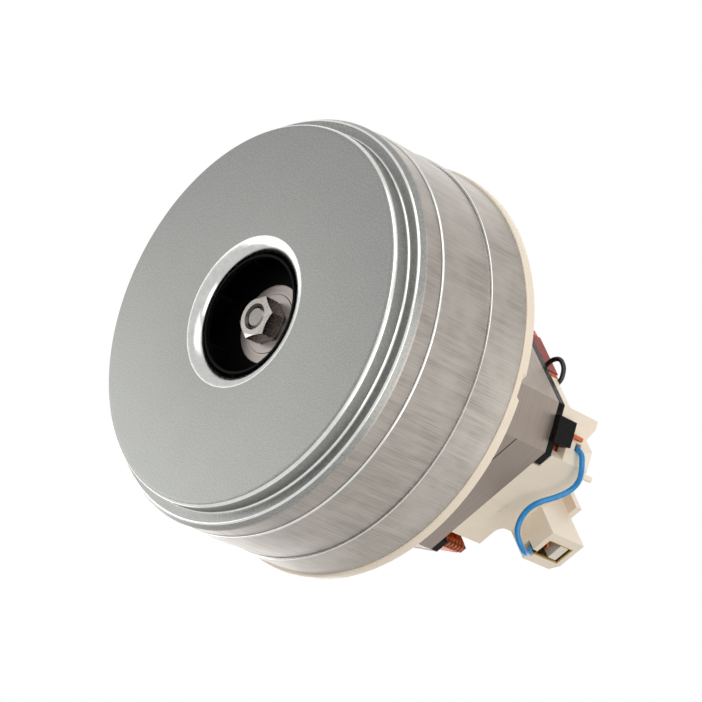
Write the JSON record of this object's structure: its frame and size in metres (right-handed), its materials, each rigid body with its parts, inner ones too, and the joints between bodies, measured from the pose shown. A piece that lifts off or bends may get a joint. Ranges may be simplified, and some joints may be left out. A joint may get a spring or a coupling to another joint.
{
  "type": "vacuum cleaner motor unit",
  "caption": "Two-stage vacuum motor: stepped steel fan shells with a round inlet, cream moulded carrier, laminated field and rear bracket with radial brush boxes.",
  "frame": {"origin": "centre of the flat inlet face, on the shaft axis", "axes": "+Z runs along the shaft from the inlet to the rear bracket; +X points along the brush box that carries the jumper lead"},
  "size_m": [0.146, 0.146, 0.1513],
  "materials": {
    "galvanised_steel": "drawn, zinc coated",
    "aluminium_sheet": "pressed",
    "bright_steel": "turned",
    "zinc_steel": "zinc coated",
    "bearing_steel": "ground",
    "cream_thermoset": "moulded",
    "silicon_steel": "punched laminations",
    "black_insulation": "moulded",
    "enamelled_copper": "enamelled wire",
    "commutator_copper": "turned",
    "red_tape": "varnished",
    "brass": "rolled",
    "carbon": "pressed carbon",
    "spring_steel": "drawn",
    "white_plastic": "moulded",
    "black_rubber": "moulded",
    "blue_sleeve": "extruded",
    "black_sleeve": "extruded"
  },
  "bodies": {
    "motor": {"inlet_shell": "galvanised_steel", "middle_shell": "galvanised_steel", "rear_shell": "galvanised_steel", "interstage_plate": "galvanised_steel", "front_return_guide": "aluminium_sheet", "rear_return_guide": "aluminium_sheet", "front_bearing_outer_race": "bearing_steel", "rear_bearing_outer_race": "bearing_steel", "carrier_plate": "cream_thermoset", "bearing_retainer": "bright_steel", "retainer_screws": "bright_steel", "stator_core": "silicon_steel", "front_end_frame": "black_insulation", "near_rear_end_frame": "black_insulation", "far_rear_end_frame": "black_insulation", "upper_field_coil": "enamelled_copper", "lower_field_coil": "enamelled_copper", "coil_tape": "red_tape", "rear_bracket": "cream_thermoset", "near_brush_holder": "brass", "near_brush_clip": "brass", "near_brush_cap": "white_plastic", "near_brush_spring": "spring_steel", "far_brush_holder": "brass", "far_brush_clip": "brass", "far_brush_cap": "white_plastic", "far_brush_spring": "spring_steel", "field_screws": "bright_steel", "bearing_cup": "black_rubber", "blue_lead": "blue_sleeve", "black_lead": "black_sleeve", "copper_lead": "enamelled_copper"},
    "rotor": {"shaft": "bright_steel", "shaft_nut": "bright_steel", "front_clamp_washer": "zinc_steel", "rear_clamp_washer": "zinc_steel", "impeller_spacer": "zinc_steel", "bearing_spacer": "zinc_steel", "front_impeller": "aluminium_sheet", "rear_impeller": "aluminium_sheet", "front_bearing_inner_race": "bearing_steel", "rear_bearing_inner_race": "bearing_steel", "shaft_sleeve": "black_insulation", "armature_core": "silicon_steel", "armature_winding": "enamelled_copper", "commutator": "commutator_copper"},
    "front_ball_set": {"front_bearing_balls": "bearing_steel"},
    "rear_ball_set": {"rear_bearing_balls": "bearing_steel"},
    "near_brush_block": {"near_brush": "carbon", "near_brush_shunt": "commutator_copper"},
    "far_brush_block": {"far_brush": "carbon", "far_brush_shunt": "commutator_copper"}
  },
  "joints": [
    {"name": "rotor_spin", "type": "hinge", "parent": "motor", "child": "rotor", "pos_m": [0, 0, 0.075], "axis": [0, 0, 1], "continuous": true},
    {"name": "front_balls_roll", "type": "hinge", "parent": "motor", "child": "front_ball_set", "pos_m": [0, 0, 0.054], "axis": [0, 0, 1], "continuous": true},
    {"name": "rear_balls_roll", "type": "hinge", "parent": "motor", "child": "rear_ball_set", "pos_m": [0, 0, 0.1455], "axis": [0, 0, 1], "continuous": true},
    {"name": "near_brush_slide", "type": "slide", "parent": "motor", "child": "near_brush_block", "axis": [1, 0, 0], "range_m": [0, 0.003], "stiffness_N_per_m": 150, "springref_m": -0.02, "deforming": ["near_brush_spring"]},
    {"name": "far_brush_slide", "type": "slide", "parent": "motor", "child": "far_brush_block", "axis": [-1, 0, 0], "range_m": [0, 0.003], "stiffness_N_per_m": 150, "springref_m": -0.02, "deforming": ["far_brush_spring"]}
  ],
  "couplings": [
    {"joint": "front_balls_roll", "follows": "rotor_spin", "ratio": 0.368},
    {"joint": "rear_balls_roll", "follows": "rotor_spin", "ratio": 0.368}
  ]
}
